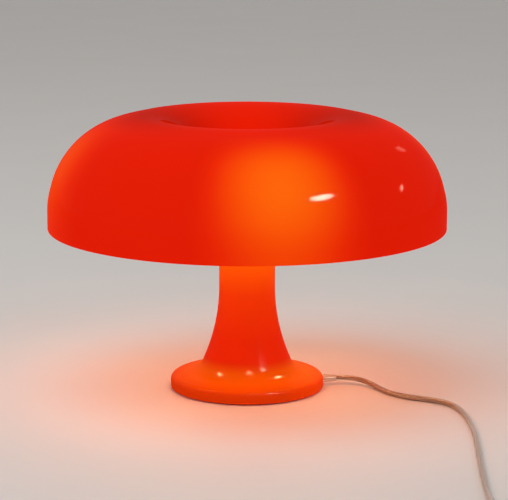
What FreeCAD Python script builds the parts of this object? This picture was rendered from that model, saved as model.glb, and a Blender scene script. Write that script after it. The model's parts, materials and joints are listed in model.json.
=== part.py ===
import FreeCAD, Part
import math
import os
import Sketcher
from FreeCAD import Placement, Rotation, Vector

# Mushroom table lamp: a domed shade with a dished crown on a trumpet-shaped foot.
# Millimetres, +Z up. The origin is on the table under the centre of the foot.
# The viewer of the photograph stands at -Y, and +X is to the right.

SIZES = {
    # --- foot and stem, one trumpet-shaped moulding ---
    "base_radius": 62.0,            # foot disc
    "base_gap": 1.0,                # shadow gap under the edge of the foot
    "edge_level": 10.2,             # where the top of the foot meets its side
    "edge_round": 2.4,
    "flare_reach": 39.2,            # corner between the foot and the trumpet
    "flare_level": 14.9,
    "flare_bend": 15.5,
    "trumpet_level": 52.5,          # corner between the trumpet and the stem
    "trumpet_bend": 150.0,
    "stem_radius": 22.6,
    "stem_top": 145.0,
    "stem_wall": 2.6,
    # --- inside the foot ---
    "foot_radius": 6.0,
    "foot_thickness": 2.0,
    "foot_sunk": 0.8,
    "foot_inset": 11.4,             # of their centres from the inside of the wall
    "cover_thickness": 1.5,
    "cover_clearance": 0.3,
    "ballast_gap": 1.5,             # under the top of the foot
    "ballast_top": 27.0,            # above the table
    "ballast_bevel": 3.4,
    "ballast_boss": 22.0,           # radius of the raised middle
    "ballast_inset": 5.2,           # of its shoulder from the corner of the flare
    "ballast_well": 11.0,           # hollow under the middle, where the lead turns up
    "well_roof": 7.4,
    "cover_screw_radius": 1.9,
    "cone_land": 0.1,               # of the cover's thickness, over the screws' cone seats
    "cover_screw_length": 9.0,
    "cover_screw_circle": 29.0,
    # --- stem tube, nuts and hub ---
    "rod_radius": 5.0,
    "rod_wall": 1.6,
    "rod_stub": 3.0,                # below the lower nut
    "rod_short": 1.0,               # its upper end below the top of the knob's insert
    "rod_slot_width": 4.0,
    "rod_slot_height": 12.0,
    "rod_slot_gap": 1.0,            # above the upper nut
    "nut_radius": 7.0,
    "nut_thickness": 3.0,
    "washer_gap": 0.6,
    "washer_thickness": 1.6,
    "hub_wall": 11.0,
    "hub_floor": 4.0,
    "hub_roof": 2.5,                # over the bores of the lampholders
    "spigot_length": 8.0,
    "spigot_wall": 6.8,
    "lid_thickness": 3.0,
    "lid_ring_wall": 2.0,
    "lid_ring_depth": 1.5,
    "seat_ring_thickness": 1.0,
    "seat_ring_radius": 26.0,
    "block_length": 11.0,
    "block_depth": 6.5,
    "block_height": 9.0,
    "block_gap": 2.2,               # between the terminal block and the wall of the hub
    # --- lampholders, lying flat, a quarter turn apart ---
    "holder_bearing": 10.0,         # degrees from +X of the first one
    "holder_lift": 1.5,             # above the floor of the hub
    "holder_set": 1.0,              # its back end from the hub's hollow
    "holder_cover": 1.0,            # how far its mouth reaches over the glass
    "holder_radius": 12.0,
    "holder_neck": 10.6,
    "holder_collar": 13.0,
    "holder_floor": 9.0,
    "holder_step": 4.0,
    "shell_inset": 3.0,             # from the mouth of the lampholder
    "shell_wall": 0.5,
    "tongue_width": 5.0,
    "tongue_thickness": 0.5,
    "tongue_reach": 1.9,
    "tongue_foot": 5.6,
    # --- bulbs: small golf-ball lamps with a screw cap ---
    "cap_radius": 6.95,
    "cap_length": 18.5,
    "base_length": 2.2,
    "tip_length": 1.3,
    "tip_radius": 2.3,
    "tip_gap": 0.1,
    "globe_radius": 22.5,
    "bulb_length": 78.0,
    "glass_neck": 11.0,
    "glass_wall": 1.0,
    "neck_angle": 35.0,             # degrees, the cone between neck and globe
    # --- shade, levels counted from the seat under the floor of its dish ---
    "shade_radius": 160.0,
    "shade_wall": 3.0,
    "rim_drop": 48.6,
    "rim_round": 1.2,
    "side_drop": 26.0,
    "side_bend": 60.0,
    "shoulder_inset": 14.3,         # of each corner from the side
    "shoulder_rise": 28.1,
    "shoulder_bend": 71.5,
    "crest_inset": 85.0,
    "crest_rise": 44.6,
    "crest_bend": 50.0,
    "lip_inset": 108.0,
    "lip_rise": 31.7,
    "lip_bend": 12.0,
    "dish_inset": 117.5,
    "dish_bend": 12.0,
    # --- retaining knob in the dish ---
    "knob_radius": 15.0,
    "knob_roof": 4.0,
    "knob_round": 2.0,
    "knob_flute": 2.2,
    "insert_radius": 8.0,
    "insert_height": 11.0,
    # --- cord, its strain relief and clamp ---
    "cord_radius": 2.2,
    "cord_bearing": 5.0,            # degrees from +X, where the cord leaves the foot
    "cord_lift": 0.4,               # above the cover
    "relief_inside": 8.0,
    "relief_outside": 11.0,
    "relief_wall": 0.2,             # round the cord, at the tip
    "relief_flange": 0.7,
    "cord_straight": 12.0,          # of the cord where it leaves a piece
    "exit_straight": 9.0,           # the same, at the foot
    "clamp_gap": 5.4,               # from the strain relief
    "clamp_length": 8.0,
    "clamp_width": 18.0,
    "clamp_height": 6.6,
    "clamp_screw_radius": 1.2,
    "clamp_screw_spacing": 12.0,
    "clamp_room": 0.8,
    "channel_gap": 0.9,
    "lead_rise": 7.0,               # inner end above the top of the stem
    # --- switch on the cord ---
    "switch_length": 62.0,
    "switch_width": 27.0,
    "switch_split": 8.5,
    "switch_height": 18.0,
    "switch_corner": 9.0,
    "switch_round": 2.2,
    "switch_screw_reach": 22.3,
    "switch_screw_side": 7.3,
    "rocker_length": 19.2,
    "rocker_width": 9.8,
    "rocker_tilt": 8.0,             # degrees to each side of level
    "rocker_dip": 2.6,
    "rocker_depth": 3.0,
    "pivot_radius": 1.2,
    "pivot_length": 14.0,
    "pivot_drop": 3.0,
    "window_gap": 1.1,              # at the ends of the rocker
    "window_side": 0.3,
    "sleeve_length": 20.0,
    "sleeve_radius": 3.9,
    "sleeve_wall": 0.4,             # round the cord, at the tip
    # --- flat two-pin plug ---
    "plug_width": 35.3,
    "plug_thickness": 13.7,
    "plug_length": 36.0,
    "plug_front": 9.0,
    "plug_waist": 22.0,
    "plug_taper": 22.0,             # length from the waist to the front
    "plug_tail": 11.0,
    "plug_round": 2.6,
    "plug_nozzle": 20.0,
    "plug_nozzle_radius": 4.2,
    "pin_radius": 2.0,
    "pin_length": 19.0,
    "pin_spacing": 18.6,
    # --- clearances ---
    "fit_clearance": 0.05,          # pieces that are pushed or screwed together
    "running_clearance": 0.08,      # pieces that turn in each other
    "hole_clearance": 0.2,
}

# The cord's route on the table between its straight ends: x, y and height of its centre.
LEAD_ROUTE = [
    (90.8, 4.5, 4.8), (99.2, -1.9, 3.5), (106.6, -13.9, 2.3), (114.2, -29.4, 2.2), (125.4, -39.8, 2.2),
    (142.8, -48.8, 2.2), (157.5, -57.5, 2.2), (166.2, -75.0, 2.2), (170.4, -104.0, 2.2),
    (171.4, -140.0, 2.2), (170.0, -178.0, 2.2), (168.2, -212.0, 2.2), (166.8, -242.0, 2.2),
    (165.9, -270.0, 2.2), (165.3, -297.0, 2.6), (165.2, -322.0, 6.0),
]
MID_ROUTE = [(171.9, -481.6, 6.6), (187.0, -495.0, 3.6)]
TAIL_ROUTE = [(249.9, -439.0, 14.0), (250.7, -417.0, 8.6)]
SWITCH_CENTRE = (165.4, -403.0)
SWITCH_BEARING = 270.0
COIL_CENTRE = (221.0, -473.0)
COIL_LAYERS = 4
LAYER_TURNS = 2
CLIMB_TURNS = 0.5
COIL_TURNS = COIL_LAYERS * LAYER_TURNS + 0.25
COIL_RADIUS = 27.0
COIL_GAP = 0.55
COIL_START = -90.0
PLUG_END = (251.0, -385.0)
PLUG_BEARING = 90.0
ARC_SHARE = 0.45                    # of a run of the cord, taken by the arc at its end

LAMPS = 4
FEET = 4
COVER_SCREWS = 3
FLUTES = 12
HEX_CORNER = 2 / math.sqrt(3)       # corner of a hexagon, for a flat at 1
LEAST_RUN = 0.2                     # straight left between two roundings
BEYOND = 1.0                        # how far outside a piece a cut starts

doc = FreeCAD.newDocument("MushroomLamp")
sheet = doc.addObject("Spreadsheet::Sheet", "Sizes")


class Size:
    """A length or angle that knows its number and the sheet formula that it comes from."""

    def __init__(self, number, formula):
        self.number = float(number)
        self.formula = formula

    def __add__(self, other):
        other = as_size(other)
        return Size(self.number + other.number, f"({self.formula} + {other.formula})")

    def __sub__(self, other):
        other = as_size(other)
        return Size(self.number - other.number, f"({self.formula} - {other.formula})")

    def __mul__(self, other):
        other = as_size(other)
        return Size(self.number * other.number, f"({self.formula} * {other.formula})")

    def __truediv__(self, other):
        other = as_size(other)
        return Size(self.number / other.number, f"({self.formula} / {other.formula})")

    def __neg__(self):
        return Size(-self.number, f"(0 - {self.formula})")

    __radd__ = __add__
    __rmul__ = __mul__


def as_size(value):
    return value if isinstance(value, Size) else Size(value, f"{value:g}")


def tan(angle):
    """Tangent of an angle in degrees."""
    return Size(math.tan(math.radians(angle.number)), f"tan({angle.formula})")


class Sheet:
    """The sizes by name, each with its cell's formula."""


s = Sheet()
for row, (word, number) in enumerate(SIZES.items(), start=1):
    sheet.set(f"A{row}", word)
    sheet.set(f"B{row}", str(number))
    sheet.setAlias(f"B{row}", word)
    setattr(s, word, Size(number, f"Sizes.{word}"))
doc.recompute()


# ---------------------------------------------------------------- drawing helpers

def new_body(label, bearing=None, at=None):
    """A body, turned by its bearing about Z and moved to its place."""
    body = doc.addObject("PartDesign::Body", label)
    body.Label = label
    body.AllowCompound = True
    place = [as_size(value) for value in (at or (0, 0, 0))]
    turn = as_size(bearing or 0)
    body.Placement = Placement(Vector(*(p.number for p in place)), Rotation(Vector(0, 0, 1), turn.number))
    for axis, value in zip("xyz", place):
        if at:
            body.setExpression(f"Placement.Base.{axis}", value.formula)
    if bearing is not None and turn.number:
        body.setExpression("Placement.Rotation.Angle", turn.formula)
    return body


def origin_item(body, role):
    """One of the planes or axes of the body's own origin."""
    return next(item for item in body.Origin.OriginFeatures if item.Role == role)


def new_sketch(body, name, role="XZ_Plane", offset=None):
    """A sketch on one of the body's own planes, moved along its normal by the offset."""
    sketch = body.newObject("Sketcher::SketchObject", name)
    sketch.AttachmentSupport = [(origin_item(body, role), "")]
    sketch.MapMode = "FlatFace"
    if offset is not None:
        offset = as_size(offset)
        sketch.AttachmentOffset = Placement(Vector(0, 0, offset.number), Rotation())
        sketch.setExpression("AttachmentOffset.Base.z", offset.formula)
    return sketch


def bind(sketch, *constraint):
    """A constraint whose last value is a size, tied to the size's formula."""
    size = as_size(constraint[-1])
    index = sketch.addConstraint(Sketcher.Constraint(*constraint[:-1], size.number))
    if "Sizes." in size.formula:
        sketch.setExpression(f"Constraints[{index}]", size.formula)


def fix_point(sketch, item, end, x, y):
    bind(sketch, "DistanceX", -1, 1, item, end, x)
    bind(sketch, "DistanceY", -1, 1, item, end, y)


def draw_outline(sketch, corners, loose=()):
    """A closed outline through corners (x, y) or (x, y, radius of the rounding).

    The corners whose numbers are in loose are drawn but left to other constraints."""
    points = [read_corner(corner) for corner in corners]
    count = len(points)
    flat = [Vector(x.number, y.number, 0) for x, y, _ in points]
    ends = [round_corner(flat[i - 1], flat[i], flat[(i + 1) % count], points[i][2]) for i in range(count)]
    lines = [sketch.addGeometry(Part.LineSegment(ends[i][1], ends[(i + 1) % count][0]))
             for i in range(count)]
    for i, (x, y, radius) in enumerate(points):
        before, after = lines[i - 1], lines[i]
        if radius is None:
            sketch.addConstraint(Sketcher.Constraint("Coincident", before, 2, after, 1))
            if i not in loose:
                fix_point(sketch, after, 1, x, y)
            continue
        entry, leave, centre = ends[i]
        left = (flat[i] - entry).cross(leave - flat[i]).z > 0
        start, stop = (entry, leave) if left else (leave, entry)
        angles = [math.atan2(p.y - centre.y, p.x - centre.x) for p in (start, stop)]
        circle = Part.Circle(centre, Vector(0, 0, 1), radius.number)
        arc = sketch.addGeometry(Part.ArcOfCircle(circle, angles[0], angles[1]))
        first, last = (1, 2) if left else (2, 1)
        sketch.addConstraint(Sketcher.Constraint("Tangent", before, 2, arc, first))
        sketch.addConstraint(Sketcher.Constraint("Tangent", arc, last, after, 1))
        bind(sketch, "Radius", arc, radius)
        if i in loose:
            continue
        mark = sketch.addGeometry(Part.Point(flat[i]), True)
        sketch.addConstraint(Sketcher.Constraint("PointOnObject", mark, 1, before))
        sketch.addConstraint(Sketcher.Constraint("PointOnObject", mark, 1, after))
        fix_point(sketch, mark, 1, x, y)
    return lines


def read_corner(corner):
    x, y, *rest = corner
    return as_size(x), as_size(y), as_size(rest[0]) if rest else None


def round_corner(before, here, after, radius):
    """Where a rounding starts and ends, and its centre; a sharp corner has no centre."""
    if radius is None:
        return here, here, None
    back = (before - here).normalize()
    ahead = (after - here).normalize()
    turn = math.pi - math.acos(max(-1.0, min(1.0, back.dot(ahead))))
    cut = radius.number * math.tan(turn / 2)
    centre = here + (back + ahead).normalize() * (radius.number / math.cos(turn / 2))
    return here + back * cut, here + ahead * cut, centre


def left_of(start, end):
    """The unit vector to the left of the way from start to end."""
    way = (end - start).normalize()
    return Vector(-way.y, way.x, 0)


def draw_wall(sketch, skin, wall):
    """A wall of even thickness on the left of an open skin, square to it at both ends."""
    points = [read_corner(corner) for corner in skin]
    flat = [Vector(x.number, y.number, 0) for x, y, _ in points]
    last = len(points) - 1
    inner = []
    for i, (x, y, radius) in enumerate(points):
        if i in (0, last):
            side = left_of(flat[0], flat[1]) if i == 0 else left_of(flat[last - 1], flat[last])
            edge = [x + wall * round(side.x), y + wall * round(side.y)]
            inner.append(edge + [radius] if radius else edge)
            continue
        one, two = left_of(flat[i - 1], flat[i]), left_of(flat[i], flat[i + 1])
        place = flat[i] + (one + two) * (wall.number / (1 + one.dot(two)))
        inside = radius - wall if one.cross(two).z > 0 else radius + wall
        inner.append([place.x, place.y] + ([inside] if inside.number > 0 else []))
    count = len(points)
    loose = [2 * count - 1 - i for i in range(1, last)]
    lines = draw_outline(sketch, skin + inner[::-1], loose)
    for i in range(last):
        outside, inside = lines[i], lines[2 * count - 2 - i]
        sketch.addConstraint(Sketcher.Constraint("Parallel", outside, inside))
        if 0 < i < last - 1:
            bind(sketch, "Distance", inside, 1, outside, wall)


def draw_circle(sketch, x, y, radius):
    x, y, radius = as_size(x), as_size(y), as_size(radius)
    circle = sketch.addGeometry(Part.Circle(Vector(x.number, y.number, 0), Vector(0, 0, 1), radius.number))
    fix_point(sketch, circle, 3, x, y)
    bind(sketch, "Radius", circle, radius)


def box_corners(x_low, x_high, y_low, y_high):
    return [(x_low, y_low), (x_high, y_low), (x_high, y_high), (x_low, y_high)]


def revolve(body, corners, name="Turned", axis="V_Axis", wall=None):
    """The outline of half a section, or a wall along a skin, turned all the way round."""
    sketch = new_sketch(body, name + "Sketch")
    if wall:
        draw_wall(sketch, corners, wall)
    else:
        draw_outline(sketch, corners)
    feature = body.newObject("PartDesign::Revolution", name)
    feature.Profile = sketch
    feature.ReferenceAxis = (sketch, [axis])
    feature.Angle = 360
    body.Tip = feature


def extrude(body, draw, length, name, role="XY_Plane", offset=None, cut=False, both=False, back=False):
    """A pad, or a pocket where cut is set, of what draw puts in the sketch."""
    sketch = new_sketch(body, name + "Sketch", role, offset)
    draw(sketch)
    feature = body.newObject("PartDesign::Pocket" if cut else "PartDesign::Pad", name)
    feature.Profile = sketch
    length = as_size(length)
    feature.Length = length.number
    feature.setExpression("Length", length.formula)
    feature.Midplane = both
    feature.Reversed = back
    body.Tip = feature
    return feature


def repeat_round(body, features, count, name="Round"):
    """Copies of features spaced evenly about the body's Z axis."""
    doc.recompute()
    pattern = body.newObject("PartDesign::PolarPattern", name)
    pattern.Originals = features
    pattern.Axis = (origin_item(body, "Z_Axis"), [""])
    pattern.Angle = 360
    pattern.Occurrences = count
    body.Tip = pattern


def soften(body, feature, radius, test, name="Soft"):
    """A fillet on the edges that pass the test."""
    doc.recompute()
    names = [f"Edge{i}" for i, edge in enumerate(feature.Shape.Edges, start=1) if test(edge)]
    fillet = body.newObject("PartDesign::Fillet", name)
    fillet.Base = (feature, names)
    radius = as_size(radius)
    fillet.Radius = radius.number
    fillet.setExpression("Radius", radius.formula)
    body.Tip = fillet


def near(value, size):
    return abs(value - size.number) < 0.01


def level_edge(edge, size):
    """True for an edge that lies flat at a height."""
    return all(near(vertex.Z, size) for vertex in edge.Vertexes) and near(edge.CenterOfMass.z, size)


# ---------------------------------------------------------------- levels that pieces share

cover_low = s.foot_thickness - s.foot_sunk
cover_top = cover_low + s.cover_thickness
rim_inner = s.base_radius - s.stem_wall
stem_inner = s.stem_radius - s.stem_wall
cord_level = cover_top + s.cord_lift + s.cord_radius
relief_tip = s.cord_radius + s.relief_wall
relief_radius = relief_tip + s.relief_flange
relief_start = rim_inner - s.relief_inside
clamp_reach = relief_start - s.clamp_gap - s.clamp_length / 2
foot_circle = rim_inner - s.foot_inset
screw_cone = s.cover_thickness - s.cone_land
screw_head = s.cover_screw_radius + screw_cone
well_level = s.ballast_top - s.well_roof
low_nut_level = well_level - s.washer_thickness - s.nut_thickness
rod_foot = low_nut_level - s.rod_stub
rod_hole = s.rod_radius + s.hole_clearance
nut_corner = s.nut_radius * HEX_CORNER
hub_floor = s.stem_top + s.hub_floor
hub_cavity = nut_corner + s.hole_clearance + s.block_depth + s.block_gap
hub_radius = hub_cavity + s.hub_wall
lamp_level = hub_floor + s.holder_lift + s.holder_radius
hub_top = lamp_level + s.holder_radius + s.hub_roof
lid_top = hub_top + s.lid_thickness
seat_level = lid_top + s.seat_ring_thickness
dish_level = seat_level + s.shade_wall
insert_top = dish_level + s.insert_height
holder_start = hub_cavity + s.holder_set
socket_floor = holder_start + s.holder_floor
shell_start = socket_floor + s.holder_step
shell_bore = s.cap_radius + s.running_clearance
shell_radius = shell_bore + s.shell_wall
tip_start = socket_floor + s.tongue_reach + s.tip_gap
base_start = tip_start + s.tip_length
cap_start = base_start + s.base_length
glass_start = cap_start + s.cap_length
holder_end = glass_start + s.holder_cover
sleeve_tip = s.cord_radius + s.sleeve_wall


# ---------------------------------------------------------------- foot and stem

def make_stem_base():
    """Trumpet-shaped moulding: foot disc, flare and stem in one, open below and above."""
    body = new_body("stem_base", s.cord_bearing)
    revolve(body, [
        (s.base_radius, s.base_gap), (s.base_radius, s.edge_level, s.edge_round),
        (s.flare_reach, s.flare_level, s.flare_bend), (s.stem_radius, s.trumpet_level, s.trumpet_bend),
        (s.stem_radius, s.stem_top)], "Moulding", wall=s.stem_wall)
    extrude(body, lambda sketch: draw_circle(sketch, 0, cord_level, relief_tip + s.fit_clearance),
            s.stem_wall + BEYOND * 2, "CordHole", "YZ_Plane", s.base_radius + BEYOND, cut=True)


def make_ballast():
    """Cast ring that fills the foot, with a well and a channel for the lead."""
    body = new_body("base_ballast", s.cord_bearing)
    edge, under = rim_inner - s.cover_clearance, s.stem_wall + s.ballast_gap
    revolve(body, [
        (s.ballast_well, cover_top), (edge, cover_top), (edge, s.edge_level - under),
        (s.flare_reach - s.ballast_inset, s.flare_level - under),
        (s.ballast_boss, s.ballast_top - s.ballast_bevel),
        (s.ballast_boss - s.ballast_bevel, s.ballast_top), (rod_hole, s.ballast_top),
        (rod_hole, well_level), (s.ballast_well, well_level)], "Casting")
    height = cord_level - cover_top + relief_radius + s.hole_clearance
    aside = relief_radius + s.channel_gap
    extrude(body, lambda sketch: draw_outline(sketch, box_corners(0, s.base_radius, -aside, aside)),
            height, "Channel", offset=cover_top, cut=True, back=True)
    half, wide = s.clamp_length / 2 + s.clamp_room, s.clamp_width / 2 + s.clamp_room
    extrude(body, lambda sketch: draw_outline(sketch, box_corners(
        clamp_reach - half, clamp_reach + half, -wide, wide)),
        s.ballast_top, "ClampPocket", offset=cover_top, cut=True, back=True)
    screw_holes(body, s.cover_screw_length)


def screw_spot(sketch, radius):
    """The first of the cover's screws stands a sixth of a turn from the cord."""
    turn = math.pi / COVER_SCREWS
    draw_circle(sketch, s.cover_screw_circle * math.cos(turn), s.cover_screw_circle * math.sin(turn), radius)


def screw_holes(body, depth):
    hole = extrude(body, lambda sketch: screw_spot(sketch, s.cover_screw_radius + s.fit_clearance), depth,
                   "ScrewHole", offset=cover_low, cut=True, back=True)
    repeat_round(body, [hole], COVER_SCREWS, "ScrewHoles")


def pair_of_circles(sketch, reach, side, radius):
    """Two circles, one to each side of the X axis."""
    draw_circle(sketch, reach, side, radius)
    draw_circle(sketch, reach, -side, radius)


def make_cover():
    """Steel plate that closes the foot, with recesses for the feet and cone seats for screws."""
    body = new_body("base_cover", s.cord_bearing)
    extrude(body, lambda sketch: draw_circle(sketch, 0, 0, rim_inner - s.cover_clearance),
            s.cover_thickness, "Plate", offset=cover_low)
    spot = foot_circle * math.sqrt(0.5)
    recess = extrude(body, lambda sketch: draw_circle(sketch, spot, spot, s.foot_radius + s.fit_clearance),
                     s.foot_sunk, "FootRecess", offset=cover_low, cut=True, back=True)
    repeat_round(body, [recess], FEET, "FootRecesses")
    extrude(body, lambda sketch: pair_of_circles(
        sketch, clamp_reach, s.clamp_screw_spacing / 2, s.clamp_screw_radius + s.fit_clearance),
        s.cover_thickness, "ClampScrewHoles", offset=cover_low, cut=True, back=True)
    screw_holes(body, s.cover_thickness)
    cone = extrude(body, lambda sketch: screw_spot(sketch, screw_head + s.fit_clearance), screw_cone,
                   "ConeSeat", offset=cover_low, cut=True, back=True)
    cone.TaperAngle = -45
    repeat_round(body, [cone], COVER_SCREWS, "ConeSeats")


def make_cover_screws():
    """Three flat-headed screws up into the ballast."""
    body = new_body("cover_screws", s.cord_bearing)
    head = extrude(body, lambda sketch: screw_spot(sketch, screw_head), screw_cone, "Head",
                   offset=cover_low)
    head.TaperAngle = -45
    shank = extrude(body, lambda sketch: screw_spot(sketch, s.cover_screw_radius),
                    s.cover_screw_length - s.hole_clearance, "Shank", offset=cover_low)
    repeat_round(body, [head, shank], COVER_SCREWS, "Screws")


def make_feet():
    """Four rubber discs in the cover's recesses."""
    for number in range(FEET):
        body = new_body(f"foot_{number + 1}", s.cord_bearing + 45 + 360 / FEET * number)
        disc = extrude(body, lambda sketch: draw_circle(sketch, foot_circle, 0, s.foot_radius),
                       s.foot_thickness, "Disc")
        soften(body, disc, s.foot_sunk / 2, lambda edge: near(edge.CenterOfMass.z, as_size(0)))


# ---------------------------------------------------------------- cord entry

def make_strain_relief():
    """Tapered sleeve through the side of the foot, with its flange against the wall."""
    body = new_body("strain_relief", s.cord_bearing, (0, 0, cord_level))
    face = s.base_radius + s.hole_clearance
    end = s.base_radius + s.relief_outside
    revolve(body, [
        (relief_start, 0), (relief_start, relief_tip), (face, relief_tip), (face, relief_radius),
        (face + s.stem_wall, relief_radius), (end, relief_tip), (end, 0)], "Sleeve", "H_Axis")


def make_cord_clamp():
    """Saddle over the lead, screwed down on the cover."""
    body = new_body("cord_clamp", s.cord_bearing)
    half, wide = s.clamp_length / 2, s.clamp_width / 2
    extrude(body, lambda sketch: draw_outline(sketch, box_corners(
        clamp_reach - half, clamp_reach + half, -wide, wide)), s.clamp_height, "Block", offset=cover_top)
    groove = s.cord_radius + s.fit_clearance
    bend, low, high = groove - LEAST_RUN, cover_top - BEYOND, cord_level + groove
    extrude(body, lambda sketch: draw_outline(sketch, [
        (-groove, low), (groove, low), (groove, high, bend), (-groove, high, bend)]),
        s.clamp_length + BEYOND * 2, "Saddle", "YZ_Plane", clamp_reach + half + BEYOND, cut=True)
    extrude(body, lambda sketch: pair_of_circles(
        sketch, clamp_reach, s.clamp_screw_spacing / 2, s.clamp_screw_radius + s.fit_clearance),
        s.clamp_height, "ScrewHoles", offset=cover_top, cut=True, back=True)


def make_clamp_screws():
    """Two pan-headed screws of the cord clamp, sunk into its top."""
    body = new_body("clamp_screws", s.cord_bearing)
    extrude(body, lambda sketch: pair_of_circles(
        sketch, clamp_reach, s.clamp_screw_spacing / 2, s.clamp_screw_radius),
        s.clamp_height + s.cover_thickness, "Shanks", offset=cover_low)


def make_inner_lead():
    """The cord inside the foot: through the clamp, round in the well and up the tube."""
    level, bend = cord_level.number, rod_foot.number - cord_level.number
    low = Vector(bend, 0, level)
    turn = bend * (1 - math.cos(math.pi / 4))
    middle = Vector(turn, 0, level + turn)
    high = Vector(0, 0, level + bend)
    spine = Part.Wire([
        Part.LineSegment(Vector(relief_start.number, 0, level), low).toShape(),
        Part.Arc(low, middle, high).toShape(),
        Part.LineSegment(high, Vector(0, 0, s.stem_top.number + s.lead_rise.number)).toShape()])
    tube_feature("inner_lead", spine, Rotation(Vector(0, 0, 1), s.cord_bearing.number))


# ---------------------------------------------------------------- stem tube and hub

def make_rod():
    """Threaded tube through the stem, with a slot in the hub where the wires come out."""
    body = new_body("stem_rod")
    revolve(body, box_corners(s.rod_radius - s.rod_wall, s.rod_radius, rod_foot, insert_top - s.rod_short),
            "Tube")
    low, half = hub_floor + s.nut_thickness + s.rod_slot_gap, s.rod_slot_width / 2
    extrude(body, lambda sketch: draw_outline(sketch, box_corners(-half, half, low, low + s.rod_slot_height)),
            s.rod_radius + BEYOND, "WireSlot", "YZ_Plane", s.rod_radius + BEYOND, cut=True)


def make_nut(label, level):
    """Hexagon nut on the stem tube."""
    body = new_body(label)

    def hexagon(sketch):
        half = nut_corner / 2
        draw_outline(sketch, [(nut_corner, 0), (half, s.nut_radius), (-half, s.nut_radius),
                              (-nut_corner, 0), (-half, -s.nut_radius), (half, -s.nut_radius)])
        draw_circle(sketch, 0, 0, s.rod_radius + s.fit_clearance)
    extrude(body, hexagon, s.nut_thickness, "Hexagon", offset=level)


def make_washer():
    """Washer between the lower nut and the roof of the ballast's well."""
    body = new_body("rod_washer")
    revolve(body, box_corners(rod_hole, s.ballast_well - s.washer_gap,
                              well_level - s.washer_thickness, well_level), "Ring")


def make_hub():
    """Round cup on the stem: a spigot below and four sockets for the lampholders."""
    body = new_body("lamp_hub", s.holder_bearing)
    spigot = stem_inner - s.hole_clearance
    bore = spigot - s.spigot_wall
    revolve(body, [
        (bore, s.stem_top - s.spigot_length), (spigot, s.stem_top - s.spigot_length),
        (spigot, s.stem_top), (hub_radius, s.stem_top), (hub_radius, hub_top), (hub_cavity, hub_top),
        (hub_cavity, hub_floor), (rod_hole, hub_floor), (rod_hole, s.stem_top), (bore, s.stem_top)], "Cup")
    seat = extrude(body, lambda sketch: draw_circle(sketch, 0, lamp_level, s.holder_radius + s.fit_clearance),
                   hub_radius, "LampSeat", "YZ_Plane", hub_radius + BEYOND, cut=True)
    repeat_round(body, [seat], LAMPS, "LampSeats")


def make_hub_lid():
    """Disc on the cup, with a low ring that centres it in the cavity."""
    body = new_body("hub_lid")
    ring, low = hub_cavity - s.hole_clearance, hub_top - s.lid_ring_depth
    inside = ring - s.lid_ring_wall
    revolve(body, [
        (rod_hole, hub_top), (inside, hub_top), (inside, low), (ring, low), (ring, hub_top),
        (hub_radius, hub_top), (hub_radius, lid_top), (rod_hole, lid_top)], "Lid")


def make_seat_ring():
    """Thin rubber ring that the shade sits on."""
    body = new_body("seat_ring")
    revolve(body, box_corners(rod_hole, s.seat_ring_radius, lid_top, seat_level), "Ring")


def make_terminal_block():
    """Two-way screw terminal between two lampholders, on the floor of the hub."""
    body = new_body("terminal_block", s.holder_bearing + 180 / LAMPS)
    inner, half = nut_corner + s.hole_clearance, s.block_length / 2
    extrude(body, lambda sketch: draw_outline(sketch, box_corners(
        inner, inner + s.block_depth, -half, half)), s.block_height, "Block", offset=hub_floor)
    extrude(body, lambda sketch: pair_of_circles(
        sketch, inner + s.block_depth / 2, half / 2, half / 4),
        s.block_height / 2, "ScrewWells", offset=hub_floor + s.block_height, cut=True)


# ---------------------------------------------------------------- lampholders and bulbs

def lamp_body(label, number):
    """A body whose X axis is a lamp's axis; the lamps stand evenly round the stem."""
    return new_body(f"{label}_{number + 1}", s.holder_bearing + 360 / LAMPS * number, (0, 0, lamp_level))


def make_lampholder(number):
    """Moulded lampholder: back part held by the hub, neck with a collar at its mouth."""
    body = lamp_body("lampholder", number)
    bore = shell_radius + s.fit_clearance
    step = shell_bore - s.shell_wall
    collar = holder_end - s.holder_step
    back = hub_radius + s.hole_clearance
    revolve(body, [
        (holder_start, s.tip_radius), (holder_start, s.holder_radius), (back, s.holder_radius),
        (back + s.holder_step, s.holder_neck), (collar, s.holder_neck), (collar, s.holder_collar),
        (holder_end, s.holder_collar), (holder_end, bore), (shell_start, bore), (shell_start, step),
        (socket_floor, step), (socket_floor, s.tip_radius)], "Housing", "H_Axis")


def make_socket_shell(number):
    """Brass screw shell, threads left out, with a lip at its foot."""
    body = lamp_body("socket_shell", number)
    end = holder_end - s.shell_inset
    lip = shell_bore - s.shell_wall * 2
    revolve(body, [
        (shell_start, lip), (shell_start, shell_radius), (end, shell_radius), (end, shell_bore),
        (shell_start + s.shell_wall, shell_bore), (shell_start + s.shell_wall, lip)], "Shell", "H_Axis")


def make_socket_contact(number):
    """Bent spring tongue under the bulb's tip."""
    body = lamp_body("socket_contact", number)
    thick, foot = s.tongue_thickness, s.tongue_foot
    top = socket_floor + s.tongue_reach

    def tongue(sketch):
        draw_outline(sketch, [
            (socket_floor, -foot), (socket_floor + thick, -foot), (socket_floor + thick, -foot / 2),
            (top, -s.tip_radius / 2), (top, s.tip_radius / 2), (top - thick, s.tip_radius / 2),
            (top - thick, -s.tip_radius / 2), (socket_floor, -foot / 2 + thick)])
    extrude(body, tongue, s.tongue_width, "Tongue", "XZ_Plane", both=True)


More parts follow.
